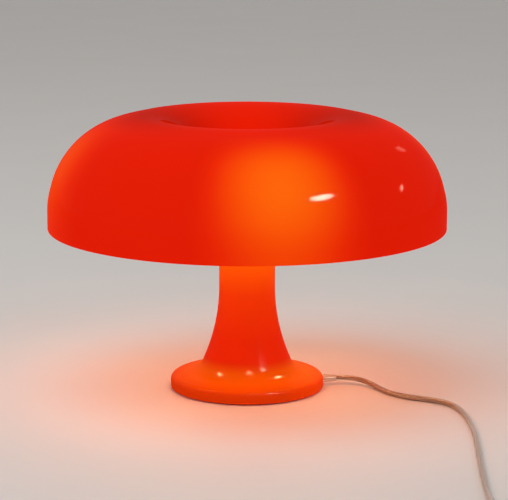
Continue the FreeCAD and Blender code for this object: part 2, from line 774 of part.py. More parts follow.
def make_bulb(number):
    """Golf-ball bulb: hollow glass, screw cap without its thread, and insulated foot with tip."""
    body = lamp_body("bulb_cap", number)
    revolve(body, [
        (cap_start, 0), (cap_start, s.cap_radius - s.shell_wall), (cap_start + s.shell_wall, s.cap_radius),
        (glass_start, s.cap_radius), (glass_start, 0)], "Cap", "H_Axis")
    body = lamp_body("bulb_foot", number)
    revolve(body, [
        (tip_start, 0), (tip_start, s.tip_radius - s.shell_wall), (tip_start + s.shell_wall, s.tip_radius),
        (base_start, s.tip_radius), (base_start, s.tip_radius + s.shell_wall),
        (cap_start, s.cap_radius - s.shell_wall * 2), (cap_start, 0)], "Foot", "H_Axis")
    body = lamp_body("bulb_glass", number)
    centre = tip_start + s.bulb_length - s.globe_radius
    slope = s.neck_angle

    def skin(depth):
        radius = s.globe_radius - depth
        neck = s.glass_neck - depth
        shoulder = centre - radius * tan(slope / 2) - LEAST_RUN
        return [(shoulder - (radius - neck) / tan(slope), neck, s.glass_neck), (shoulder, radius, radius),
                (centre + radius, radius, radius - LEAST_RUN), (centre + radius, 0)]
    outer, inner = skin(as_size(0)), skin(s.glass_wall)
    edge = s.cap_radius - s.shell_wall
    revolve(body, [(glass_start, edge)] + outer + inner[::-1] + [(glass_start, edge - s.glass_wall)],
            "Glass", "H_Axis")


# ---------------------------------------------------------------- shade and knob

def make_shade():
    """Blown dome with a rolled shoulder, a soft crest and a dished crown, open below."""
    body = new_body("shade")
    rim = seat_level - s.rim_drop
    revolve(body, [
        (s.shade_radius, rim, s.rim_round),
        (s.shade_radius, seat_level - s.side_drop, s.side_bend),
        (s.shade_radius - s.shoulder_inset, seat_level + s.shoulder_rise, s.shoulder_bend),
        (s.shade_radius - s.crest_inset, seat_level + s.crest_rise, s.crest_bend),
        (s.shade_radius - s.lip_inset, seat_level + s.lip_rise, s.lip_bend),
        (s.shade_radius - s.dish_inset, dish_level, s.dish_bend), (rod_hole, dish_level)],
        "Dome", wall=s.shade_wall)


def make_knob():
    """Fluted knob with a brass thread insert, screwed down on the floor of the dish."""
    body = new_body("shade_knob")
    pocket, roof = s.insert_radius + s.fit_clearance, insert_top + s.hole_clearance
    top = insert_top + s.knob_roof
    revolve(body, [
        (0, roof), (pocket, roof), (pocket, dish_level), (s.knob_radius, dish_level),
        (s.knob_radius, top, s.knob_round), (0, top)], "Knob")
    axis = s.knob_radius + s.knob_flute / 2
    flute = extrude(body, lambda sketch: draw_circle(sketch, axis, 0, s.knob_flute),
                    s.insert_height + s.knob_roof + BEYOND * 2, "Flute", offset=top + BEYOND, cut=True)
    repeat_round(body, [flute], FLUTES, "Flutes")
    body = new_body("knob_insert")
    revolve(body, box_corners(s.rod_radius + s.running_clearance, s.insert_radius,
                              dish_level + s.hole_clearance, insert_top), "Insert")


# ---------------------------------------------------------------- cord pieces

def corner_path(points):
    """Straight runs joined by tangent arcs, each as large as its two runs allow."""
    corners = [Vector(*point) for point in points]
    edges, start, radii = [], corners[0], []
    for before, here, after in zip(corners, corners[1:], corners[2:]):
        back, ahead = before - here, after - here
        run = min(back.Length, ahead.Length)
        back.normalize()
        ahead.normalize()
        turn = math.pi - math.acos(max(-1.0, min(1.0, back.dot(ahead))))
        cut = ARC_SHARE * run
        radius = cut / math.tan(turn / 2)
        entry, leave = here + back * cut, here + ahead * cut
        inward = (back + ahead).normalize()
        middle = here + inward * (radius / math.cos(turn / 2) - radius)
        edges.append(Part.LineSegment(start, entry).toShape())
        edges.append(Part.Arc(entry, middle, leave).toShape())
        start = leave
        radii.append(round(radius, 1))
    edges.append(Part.LineSegment(start, corners[-1]).toShape())
    return Part.Wire(edges), radii


def tube_feature(label, spine, turn=None):
    """A round tube along a spine, as one solid whose volume is section times length."""
    first = spine.Edges[0]
    start = first.valueAt(first.FirstParameter)
    heading = first.tangentAt(first.FirstParameter)
    ring = Part.Wire(Part.makeCircle(s.cord_radius.number, start, heading))
    shape = spine.makePipeShell([ring], True, False)
    wanted = math.pi * s.cord_radius.number ** 2 * spine.Length
    print(f"{label}: length {spine.Length:.1f}, volume / (section x length) {shape.Volume / wanted:.4f}")
    feature = doc.addObject("Part::Feature", label)
    feature.Label = label
    feature.Shape = shape
    feature.Placement = Placement(Vector(), turn or Rotation())


def biarc(start, heading, end, leaving):
    """Two arcs from start to end that keep both headings."""
    chord = end - start
    both = heading + leaving
    spread = 2 * (1 - heading.dot(leaving))
    lean = chord.dot(both)
    if spread < 1e-9:
        reach = chord.dot(chord) / (4 * chord.dot(leaving))
    else:
        reach = (-lean + math.sqrt(lean * lean + spread * chord.dot(chord))) / spread
    first, second = start + heading * reach, end - leaving * reach
    joint = (first + second) / 2
    return [Part.Arc(a, arc_middle(a, apex, b), b).toShape()
            for a, apex, b in ((start, first, joint), (joint, second, end))]


def arc_middle(start, apex, end):
    """The middle of the arc whose end tangents meet at the apex."""
    half = (end - start) / 2
    centre = start + half
    rise = apex - centre
    quarter = math.atan2(rise.Length, half.Length) / 2
    return centre + rise * (half.Length * math.tan(quarter) / rise.Length)


def coil_point(turns):
    """Centre line of the pile: in and out again at a steady rate, one layer up at each reversal."""
    pitch = 2 * s.cord_radius.number + COIL_GAP
    layer = min(int(turns / LAYER_TURNS), COIL_LAYERS - 1)
    done = turns - layer * LAYER_TURNS
    inward = done if layer % 2 == 0 else LAYER_TURNS - done
    radius = COIL_RADIUS - pitch * inward
    height = s.cord_radius.number
    for reversal in range(1, COIL_LAYERS):
        climb = min(1.0, max(0.0, (turns - reversal * LAYER_TURNS) / CLIMB_TURNS + 0.5))
        height += pitch * climb * climb * (3 - 2 * climb)
    return Vector(*on_bearing(COIL_CENTRE, COIL_START + 360 * turns, radius, height))


def coil_heading(turns):
    step = 0.001
    low, high = max(0.0, turns - step), min(COIL_TURNS, turns + step)
    return (coil_point(high) - coil_point(low)).normalize()


def make_coil():
    """The rest of the cord, piled up in one unbroken tube with straight ends."""
    quarters = int(COIL_TURNS * 4)
    stops = [COIL_TURNS * i / quarters for i in range(quarters + 1)]
    points = [coil_point(turns) for turns in stops]
    headings = [coil_heading(turns) for turns in stops]
    end_run = 2 * s.cord_radius.number
    edges = [Part.LineSegment(points[0] - headings[0] * end_run, points[0]).toShape()]
    for i in range(quarters):
        edges += biarc(points[i], headings[i], points[i + 1], headings[i + 1])
    edges.append(Part.LineSegment(points[-1], points[-1] + headings[-1] * end_run).toShape())
    spine = Part.Wire(edges)
    print_least_gap(spine)
    tube_feature("cord_coil", spine)
    straight = s.cord_straight.number
    return ([tuple(points[0] - headings[0] * (end_run + run)) for run in (0, straight)],
            [tuple(points[-1] + headings[-1] * (end_run + run)) for run in (0, straight)])


def print_least_gap(spine):
    """The least distance between turns of the coil, measured on points of its centre line."""
    spacing = 1.0
    points = spine.discretize(Distance=spacing)
    skip = int(6 * s.cord_radius.number / spacing)
    least = min((points[i] - points[j]).Length
                for i in range(len(points)) for j in range(i + skip, len(points)))
    print(f"cord_coil: least gap between turns {least - 2 * s.cord_radius.number:.2f}")


def on_bearing(centre, bearing, ahead, level):
    angle = math.radians(bearing)
    return (centre[0] + ahead * math.cos(angle), centre[1] + ahead * math.sin(angle), level)


def make_cord():
    """The free cord: lead to the switch, on to the coil, and the tail to the plug."""
    straight = s.cord_straight.number
    foot = s.base_radius.number + s.relief_outside.number
    leave_foot = [on_bearing((0, 0), s.cord_bearing.number, foot + run, cord_level.number)
                  for run in (0, s.exit_straight.number)]
    reach = s.switch_length.number / 2 + s.sleeve_length.number
    enter_switch, leave_switch = (
        [on_bearing(SWITCH_CENTRE, SWITCH_BEARING, side * (reach + run), s.switch_split.number)
         for run in (0, straight)] for side in (-1, 1))
    coil_in, coil_out = make_coil()
    enter_plug = [on_bearing(PLUG_END, PLUG_BEARING, -run, s.plug_thickness.number / 2)
                  for run in (0, straight)]
    routes = {
        "cord_lead": leave_foot + LEAD_ROUTE + enter_switch[::-1],
        "cord_mid": leave_switch + MID_ROUTE + coil_in[::-1],
        "cord_tail": coil_out + TAIL_ROUTE + enter_plug[::-1]}
    for label, points in routes.items():
        spine, radii = corner_path(points)
        print(f"{label}: bend radii {radii}")
        tube_feature(label, spine)


def switch_place(label, level=0):
    at = (SWITCH_CENTRE[0], SWITCH_CENTRE[1], level)
    return new_body(label, SWITCH_BEARING, at)


def switch_outline(sketch):
    half, wide = s.switch_length / 2, s.switch_width / 2
    draw_outline(sketch, [(x * half, y * wide, s.switch_corner)
                          for x, y in ((-1, -1), (1, -1), (1, 1), (-1, 1))])


def make_switch():
    """Cord switch: two half shells, a rocker on a pin, two screws and a sleeve at each end."""
    body = switch_place("switch_lower")
    lower = extrude(body, switch_outline, s.switch_split, "Lower")
    soften(body, lower, s.switch_round, lambda edge: near(edge.CenterOfMass.z, as_size(0)), "LowerRound")
    spots = [(side * s.switch_screw_reach, side * s.switch_screw_side) for side in (-1, 1)]
    screw = s.clamp_screw_radius + s.fit_clearance
    extrude(body, lambda sketch: [draw_circle(sketch, x, y, screw) for x, y in spots],
            s.switch_split, "ScrewHoles", cut=True, back=True)

    body = switch_place("switch_upper")
    upper = extrude(body, switch_outline, s.switch_height - s.switch_split, "Upper", offset=s.switch_split)
    soften(body, upper, s.switch_round, lambda edge: near(edge.CenterOfMass.z, s.switch_height), "UpperRound")
    half = s.rocker_length / 2 + s.window_gap
    wide = s.rocker_width / 2 + s.window_side
    pivot = s.switch_height - s.pivot_drop
    depth = s.pivot_drop + s.rocker_depth + s.rocker_length * tan(s.rocker_tilt)
    extrude(body, lambda sketch: draw_outline(sketch, box_corners(-half, half, -wide, wide)),
            depth, "Window", offset=s.switch_height, cut=True)
    extrude(body, lambda sketch: draw_circle(sketch, 0, pivot, s.pivot_radius + s.fit_clearance / 2),
            s.pivot_length + s.hole_clearance, "PinHole", "XZ_Plane", cut=True, both=True)

    body = switch_place("switch_screws")
    extrude(body, lambda sketch: [draw_circle(sketch, x, y, s.clamp_screw_radius) for x, y in spots],
            s.switch_split - s.switch_round, "Shanks", offset=s.switch_round)

    body = switch_place("switch_pivot")
    extrude(body, lambda sketch: draw_circle(sketch, 0, pivot, s.pivot_radius), s.pivot_length, "Pin",
            "XZ_Plane", both=True)

    body = switch_place("switch_sleeves", s.switch_split)
    start, end = s.switch_length / 2, s.switch_length / 2 + s.sleeve_length
    for side, name in ((1, "Front"), (-1, "Rear")):
        revolve(body, [(side * start, 0), (side * end, 0), (side * end, sleeve_tip),
                       (side * start, s.sleeve_radius)], name, "H_Axis")

    # The rocker rests with one end down, turned about its pin by its tilt.
    body = switch_place("switch_rocker", pivot)
    half = s.rocker_length / 2
    end_rise = s.rocker_dip + half * tan(s.rocker_tilt)

    def rocker(sketch):
        draw_outline(sketch, [(-half, -s.rocker_depth), (half, -s.rocker_depth), (half, end_rise),
                              (0, s.rocker_dip), (-half, end_rise)])
        draw_circle(sketch, 0, 0, s.pivot_radius + s.fit_clearance)
    extrude(body, rocker, s.rocker_width, "Rocker", "XZ_Plane", both=True)
    tilted = Rotation(Vector(0, 0, 1), SWITCH_BEARING) * Rotation(Vector(0, 1, 0), s.rocker_tilt.number)
    body.setExpression("Placement.Rotation.Angle", None)
    body.Placement = Placement(Vector(SWITCH_CENTRE[0], SWITCH_CENTRE[1], pivot.number), tilted)


def make_plug():
    """Flat two-pin plug with a moulded-on sleeve, lying on its side face."""
    level = s.plug_thickness / 2
    start, sunk = s.plug_nozzle + s.plug_length, s.plug_nozzle + s.plug_round
    place = (PLUG_END[0], PLUG_END[1], level)
    body = new_body("plug_body", PLUG_BEARING, place)

    def grip(sketch):
        """The outline from the tail over the waist to the front, and back on the other side."""
        edge = [(s.plug_nozzle, s.plug_tail / 2), (start - s.plug_taper, s.plug_waist / 2, s.plug_tail),
                (start - s.plug_front, s.plug_width / 2, s.plug_front / 2), (start, s.plug_width / 2)]
        draw_outline(sketch, [(x, -y, *bend) for x, y, *bend in edge] + edge[::-1])
    pad = extrude(body, grip, s.plug_thickness, "Grip", both=True)
    soften(body, pad, s.plug_round, lambda edge: level_edge(edge, level) or level_edge(edge, -level),
           "GripRound")
    revolve(body, [(0, 0), (sunk, 0), (sunk, s.plug_nozzle_radius), (0, sleeve_tip)], "Nozzle", "H_Axis")

    body = new_body("plug_pins", PLUG_BEARING, place)
    pins = extrude(body, lambda sketch: [
        draw_circle(sketch, side * s.pin_spacing / 2, 0, s.pin_radius) for side in (-1, 1)],
        s.pin_length, "Pins", "YZ_Plane", start)
    soften(body, pins, s.pin_radius / 2, lambda edge: near(edge.CenterOfMass.x, start + s.pin_length))


make_stem_base()
make_ballast()
make_cover()
make_cover_screws()
make_feet()
make_strain_relief()
make_cord_clamp()
make_clamp_screws()
make_inner_lead()
make_rod()
make_nut("rod_nut_low", low_nut_level)
make_nut("rod_nut_high", hub_floor)
make_washer()
make_hub()
make_hub_lid()
make_seat_ring()
make_terminal_block()
for lamp in range(LAMPS):
    make_lampholder(lamp)
    make_socket_shell(lamp)
    make_socket_contact(lamp)
    make_bulb(lamp)
make_shade()
make_knob()
make_cord()
make_switch()
make_plug()
doc.recompute()

# ---------------------------------------------------------------- check and write

parts = [item for item in doc.Objects if item.TypeId in ("PartDesign::Body", "Part::Feature")
         and item.getParentGeoFeatureGroup() is None]
for item in doc.Objects:
    if "Invalid" in item.State or "Error" in item.State:
        raise RuntimeError(f"{item.Label} failed: {item.State}")
for item in parts:
    if item.Shape.isNull() or not item.Shape.isValid():
        raise RuntimeError(f"{item.Label} has no valid shape")

os.makedirs("parts", exist_ok=True)
for item in parts:
    item.Shape.exportStep(f"parts/{item.Label}.step")
print(f"{len(parts)} parts written")
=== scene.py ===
# %% [markdown]
# # A mushroom table lamp
# A domed shade of translucent orange plastic sits on a trumpet-shaped foot and glows from four
# small bulbs inside it. The measured lamp is loaded first, as a fixed frame of separate pieces.
# Every piece that is modelled here goes where the measured one is, and moves with it.

# %% Load the measured lamp
import json
import math
import bpy
from mathutils import Matrix, Vector


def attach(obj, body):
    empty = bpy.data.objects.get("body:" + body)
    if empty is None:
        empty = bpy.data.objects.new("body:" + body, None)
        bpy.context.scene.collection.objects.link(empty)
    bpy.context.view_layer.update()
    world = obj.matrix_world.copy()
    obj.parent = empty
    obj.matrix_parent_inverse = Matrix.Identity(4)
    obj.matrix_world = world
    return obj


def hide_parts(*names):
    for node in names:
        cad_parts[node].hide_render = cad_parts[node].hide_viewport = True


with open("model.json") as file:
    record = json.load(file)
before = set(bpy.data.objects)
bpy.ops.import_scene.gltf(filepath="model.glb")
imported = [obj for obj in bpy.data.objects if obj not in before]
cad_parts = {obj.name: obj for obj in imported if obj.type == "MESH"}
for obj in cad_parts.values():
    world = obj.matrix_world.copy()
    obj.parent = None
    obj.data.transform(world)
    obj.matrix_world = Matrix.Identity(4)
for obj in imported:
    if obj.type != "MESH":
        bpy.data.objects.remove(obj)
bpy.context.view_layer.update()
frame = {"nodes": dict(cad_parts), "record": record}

# %% [markdown]
# ## The camera
# The photograph was taken from a little above the shade with a long lens, so the rim is a
# shallow ellipse. The camera comes first, because the cord has to lie where this view shows it.

# %% Place the camera
CAMERA_PLACE = Vector((0.0055, -1.7052, 0.4523))
CAMERA_AIM = Vector((0.0055, 0.0, 0.11306))
CAMERA_LENS, CAMERA_SENSOR = 152.85, 36.0
CAMERA_ROLL = math.radians(0.13)

camera_data = bpy.data.cameras.new("photo_camera")
camera_data.lens = CAMERA_LENS
camera_data.sensor_width = CAMERA_SENSOR
camera = bpy.data.objects.new("photo_camera", camera_data)
bpy.context.scene.collection.objects.link(camera)
sight = CAMERA_AIM - CAMERA_PLACE
turn = sight.to_track_quat("-Z", "Y").to_matrix().to_4x4()
roll = Matrix.Rotation(CAMERA_ROLL, 4, "Z")
camera.matrix_world = Matrix.Translation(CAMERA_PLACE) @ turn @ roll
bpy.context.scene.camera = camera
bpy.context.scene.view_settings.view_transform = "Standard"
print("camera", round(sight.length, 3), "m from the lamp")

# %% [markdown]
# ## The cord
# A clear cord leaves the foot on the right, runs towards the viewer and goes on to its switch, a
# neat coil and the plug. It is one smooth curve with these loose points as its control points.
# Where it lies on the floor, its middle is one radius up.

# %% Give the cord its route
CORD_RADIUS = 0.0022
CORD_BEARING = math.radians(5)
CORD_LEVEL = 0.0053
SLEEVE_REACH, STRAIGHT_REACH = 0.073, 0.082


def out_of_the_foot(reach):
    """A point on the line of the sleeve, this far from the lamp's axis."""
    return (reach * math.cos(CORD_BEARING), reach * math.sin(CORD_BEARING), CORD_LEVEL)


CORD_EXIT = out_of_the_foot(SLEEVE_REACH)
lead_route = [
    CORD_EXIT, out_of_the_foot(STRAIGHT_REACH),
    (0.0908, 0.0045, 0.0048), (0.0992, -0.0019, 0.0035), (0.1066, -0.0139, 0.0023),
    (0.1142, -0.0294, 0.0022), (0.1254, -0.0398, 0.0022), (0.1428, -0.0488, 0.0022),
    (0.1575, -0.0575, 0.0022), (0.1662, -0.075, 0.0022), (0.1704, -0.104, 0.0022),
    (0.1714, -0.140, 0.0022), (0.170, -0.178, 0.0022), (0.1682, -0.212, 0.0022),
    (0.1668, -0.242, 0.0022), (0.1659, -0.270, 0.0022), (0.1653, -0.297, 0.0026),
    (0.1652, -0.322, 0.0060), (0.1654, -0.340, 0.0085), (0.1654, -0.352, 0.0085),
    (0.1654, -0.454, 0.0085), (0.1654, -0.466, 0.0085), (0.1719, -0.4816, 0.0066),
    (0.187, -0.495, 0.0036),
]
tail_route = [(0.2499, -0.439, 0.014), (0.2507, -0.417, 0.0086),
              (0.251, -0.397, 0.00685), (0.251, -0.385, 0.00685)]
print("lead to the coil:", len(lead_route), "points")

# %% [markdown]
# The coil is written as a spiral that goes in and out again, one layer higher at each reversal.
# Two straight points lead into it, and two lead out.

# %% Wind the coil
COIL_CENTRE = (0.221, -0.473)
COIL_RADIUS = 0.027
COIL_LAYERS, LAYER_TURNS, COIL_TURNS = 4, 2, 8.25
COIL_PITCH = 0.00495
COIL_START = -90
CLIMB_TURNS = 0.5
POINTS_A_TURN = 16
NEAR_LEAD, FAR_LEAD = 0.0044, 0.0164
SHORT_TURN = 0.001


def coil_point(turns):
    """A point of the coil after so many turns."""
    layer = min(int(turns / LAYER_TURNS), COIL_LAYERS - 1)
    done = turns - layer * LAYER_TURNS
    inward = done if layer % 2 == 0 else LAYER_TURNS - done
    radius = COIL_RADIUS - COIL_PITCH * inward
    height = CORD_RADIUS
    for reversal in range(1, COIL_LAYERS):
        climb = (turns - reversal * LAYER_TURNS) / CLIMB_TURNS + 0.5
        climb = min(1.0, max(0.0, climb))
        height += COIL_PITCH * climb * climb * (3 - 2 * climb)
    angle = math.radians(360 * turns + COIL_START)
    x = COIL_CENTRE[0] + radius * math.cos(angle)
    y = COIL_CENTRE[1] + radius * math.sin(angle)
    return Vector((x, y, height))


coil_count = int(COIL_TURNS * POINTS_A_TURN)
coil_route = [coil_point(COIL_TURNS * i / coil_count) for i in range(coil_count + 1)]
coil_start, coil_end = coil_route[0], coil_route[-1]
way_in = (coil_point(SHORT_TURN) - coil_start).normalized()
way_out = (coil_end - coil_point(COIL_TURNS - SHORT_TURN)).normalized()
coil_route = [coil_start - way_in * FAR_LEAD, coil_start - way_in * NEAR_LEAD, *coil_route,
              coil_end + way_out * NEAR_LEAD, coil_end + way_out * FAR_LEAD]
print("coil:", len(coil_route), "points")


# %% Draw smooth lines
def smooth_line(name, points, radius, resolution, roundness=4):
    """An open curve with these control points, as thick as the radius says."""
    data = bpy.data.curves.new(name, "CURVE")
    data.dimensions = "3D"
    data.resolution_u = resolution
    data.bevel_depth = radius
    data.bevel_resolution = roundness
    data.use_fill_caps = True
    spline = data.splines.new("NURBS")
    spline.points.add(len(points) - 1)
    for control, point in zip(spline.points, points):
        control.co = (*point, 1.0)
    spline.order_u = 3
    spline.use_endpoint_u = True
    line = bpy.data.objects.new(name, data)
    bpy.context.scene.collection.objects.link(line)
    return line


CORD_STEPS = 5
cord_points = lead_route + coil_route + tail_route
cord = smooth_line("cord_sheath", cord_points, CORD_RADIUS, CORD_STEPS)

bare = smooth_line("bare_route", cord_points, 0.0, CORD_STEPS)
bpy.context.view_layer.update()
bare_mesh = bpy.data.meshes.new_from_object(bare)
cord_path = [vertex.co.copy() for vertex in bare_mesh.vertices]
bpy.data.objects.remove(bare)
cord_run = sum((b - a).length for a, b in zip(cord_path, cord_path[1:]))
print("cord:", round(cord_run, 3), "m,", len(cord_path), "points along it")

# %% [markdown]
# Two insulated cores run side by side inside the clear sheath and show through it as two brown
# lines. Each one follows the cord's own line, a little to its side, and the pair turns slowly
# about itself.

# %% Lay the two cores
CORE_RADIUS = 0.00075
CORE_ASIDE = 0.0009
CORE_TWIST = math.tau / 0.30
CORE_STRIDE = 3


def core_points(side):
    """The centre line of one core, found by walking along the cord."""
    points, run = [], 0.0
    across = Vector((0, 0, 1)).cross(cord_path[1] - cord_path[0]).normalized()
    last = len(cord_path) - 1
    for index in range(0, last, CORE_STRIDE):
        here = cord_path[index]
        way = (cord_path[index + 1] - here).normalized()
        across = (across - way * across.dot(way)).normalized()
        turned = Matrix.Rotation(CORE_TWIST * run, 3, way) @ across
        points.append(here + turned * side * CORE_ASIDE)
        run += sum((cord_path[i + 1] - cord_path[i]).length
                   for i in range(index, min(index + CORE_STRIDE, last)))
    return points


cores = []
for number, side in enumerate((-1, 1), start=1):
    cores.append(smooth_line(f"cord_core_{number}", core_points(side), CORE_RADIUS, 1, roundness=2))
print("cores:", len(cores))

# %% [markdown]
# ## Turned pieces
# The foot, the shade and the bulbs are all round about one axis. On each, half a section is drawn
# as a line of points, extruded point by point, and then spun about the axis. Foot and shade then
# get their wall from Solidify, so that it has the same thickness everywhere.


# %% Round the corners of a half section
def rounded(corners, finest=3.0):
    """An outline whose corners (x, y, radius) are rounded, with a point every few degrees."""
    points = []
    for index, corner in enumerate(corners):
        here = Vector(corner[:2])
        if len(corner) < 3:
            points.append(here)
            continue
        back = (Vector(corners[index - 1][:2]) - here).normalized()
        ahead = (Vector(corners[index + 1][:2]) - here).normalized()
        turn_angle = math.pi - back.angle(ahead)
        cut = corner[2] * math.tan(turn_angle / 2)
        centre = here + (back + ahead).normalized() * corner[2] / math.cos(turn_angle / 2)
        entry, leave = here + back * cut - centre, here + ahead * cut - centre
        steps = max(2, round(math.degrees(turn_angle) / finest))
        sweep = entry.angle_signed(leave)
        for step in range(steps + 1):
            bend = -sweep * step / steps
            points.append(centre + Matrix.Rotation(bend, 2) @ entry)
    return points


print("a quarter round has", len(rounded([(1, 0), (1, 1, 0.5), (0, 1)])), "points")


# %% Draw an outline and spin it
WELD = 0.000005


def clear_selection():
    bpy.ops.object.select_all(action="DESELECT")


def draw_outline(name, outline):
    """A line of points, upright and extruded one from the other, left in edit mode."""
    clear_selection()
    bpy.ops.mesh.primitive_plane_add(size=0.001, location=(0, 0, 0))
    piece = bpy.context.object
    piece.name = piece.data.name = name
    bpy.ops.object.mode_set(mode="EDIT")
    bpy.ops.mesh.select_all(action="SELECT")
    bpy.ops.mesh.merge(type="CENTER")
    places = [Vector((x, 0, y)) for x, y in outline]
    bpy.ops.transform.translate(value=places[0])
    for here, there in zip(places, places[1:]):
        bpy.ops.mesh.extrude_region_move(TRANSFORM_OT_translate={"value": there - here})
    return piece


def spin_outline(name, outline, axis=(0, 0, 1), steps=160):
    """The outline spun all the way round, with its seam and poles closed."""
    piece = draw_outline(name, outline)
    bpy.ops.mesh.select_all(action="SELECT")
    bpy.ops.mesh.spin(steps=steps, angle=math.tau, center=(0, 0, 0), axis=axis)
    bpy.ops.mesh.select_all(action="SELECT")
    bpy.ops.mesh.remove_doubles(threshold=WELD)
    bpy.ops.mesh.normals_make_consistent(inside=False)
    bpy.ops.object.mode_set(mode="OBJECT")
    return piece


def face_outwards(piece, centre=(0, 0, 0)):
    """Turns the faces over if the one farthest from the middle looks inwards."""
    far = max(piece.data.polygons, key=lambda face: (face.center - Vector(centre)).length)
    if far.normal.dot(far.center - Vector(centre)) < 0:
        piece.data.flip_normals()


def finish_piece(piece, wall=0.0, bevel=0.0, smooth=40):
    """Gives a wall inwards, rounds sharp edges a little and shades the rest smooth."""
    clear_selection()
    piece.select_set(True)
    bpy.context.view_layer.objects.active = piece
    if wall:
        solidify = piece.modifiers.new("wall", "SOLIDIFY")
        solidify.thickness = wall
        solidify.offset = -1
        solidify.use_even_offset = True
        bpy.ops.object.modifier_apply(modifier=solidify.name)
    if bevel:
        edge = piece.modifiers.new("edge", "BEVEL")
        edge.width = bevel
        edge.segments = 3
        edge.limit_method = "ANGLE"
        edge.angle_limit = math.radians(smooth)
        bpy.ops.object.modifier_apply(modifier=edge.name)
    bpy.ops.object.shade_smooth_by_angle(angle=math.radians(smooth))


print("outlines can be drawn and spun")

# %% [markdown]
# ## The foot
# The stem flares out to the foot disc in one sweep, like the bell of a trumpet, and the rim of
# the disc is softly rounded. The outline has three rounded corners.

# %% Spin the foot moulding
FOOT_WALL = 0.0026
foot_outline = rounded([
    (0.062, 0.001), (0.062, 0.0102, 0.0045), (0.0392, 0.0149, 0.0155),
    (0.0226, 0.0525, 0.150), (0.0226, 0.145)], finest=2.0)
foot = spin_outline("foot_moulding", foot_outline)
face_outwards(foot)
finish_piece(foot, wall=FOOT_WALL, bevel=0.0006)
print("foot:", len(foot.data.polygons), "faces")

# %% [markdown]
# ## The shade
# The shade is one moulded shell: an upright rim, a wide round shoulder, a soft crest and a deep
# dish in the crown. The dish has a small hole in its floor for the tube of the stem.

# %% Spin the dome
SHADE_WALL = 0.003
shade_outline = rounded([
    (0.160, 0.1324), (0.160, 0.155, 0.060), (0.1457, 0.2091, 0.0715), (0.075, 0.2256, 0.050),
    (0.052, 0.2127, 0.012), (0.0425, 0.184, 0.012), (0.0052, 0.184)], finest=2.0)
dome = spin_outline("shade_dome", shade_outline, steps=192)
face_outwards(dome)
finish_piece(dome, wall=SHADE_WALL, bevel=0.0009)
print("dome:", len(dome.data.polygons), "faces")

# %% [markdown]
# ## The bulbs
# Four small opal bulbs with screw caps lie flat in their holders, a quarter turn apart. One is spun
# about its own axis and turned into its place, and the others are copies with meshes of their own.

# %% Spin one opal globe and copy it
LAMP_LEVEL = 0.1625
LAMP_BEARINGS = [10, 100, 190, 280]
GLOBE_REACH = 0.0845
globe_outline = rounded([
    (0.051, 0.0), (0.051, 0.00645), (0.0608, 0.0110, 0.011), (0.0772, 0.0225, 0.0225),
    (0.107, 0.0225, 0.0223), (0.107, 0.0)], finest=5.0)
globe = spin_outline("bulb_globe_1", globe_outline, axis=(1, 0, 0), steps=64)
face_outwards(globe, (GLOBE_REACH, 0, 0))
finish_piece(globe)
globes = [globe]
for number in range(2, len(LAMP_BEARINGS) + 1):
    copy = bpy.data.objects.new(f"bulb_globe_{number}", globe.data.copy())
    bpy.context.scene.collection.objects.link(copy)
    globes.append(copy)
for piece, bearing in zip(globes, LAMP_BEARINGS):
    turned = Matrix.Rotation(math.radians(bearing), 4, "Z")
    piece.data.transform(Matrix.Translation((0, 0, LAMP_LEVEL)) @ turned)
print("globes:", len(globes))

# %% [markdown]
# ## Finishes
# Each finish starts as a plain Principled material. Its colour is then broken up by noise that is
# fixed to the piece, and on most a fine bump takes the perfect evenness away.


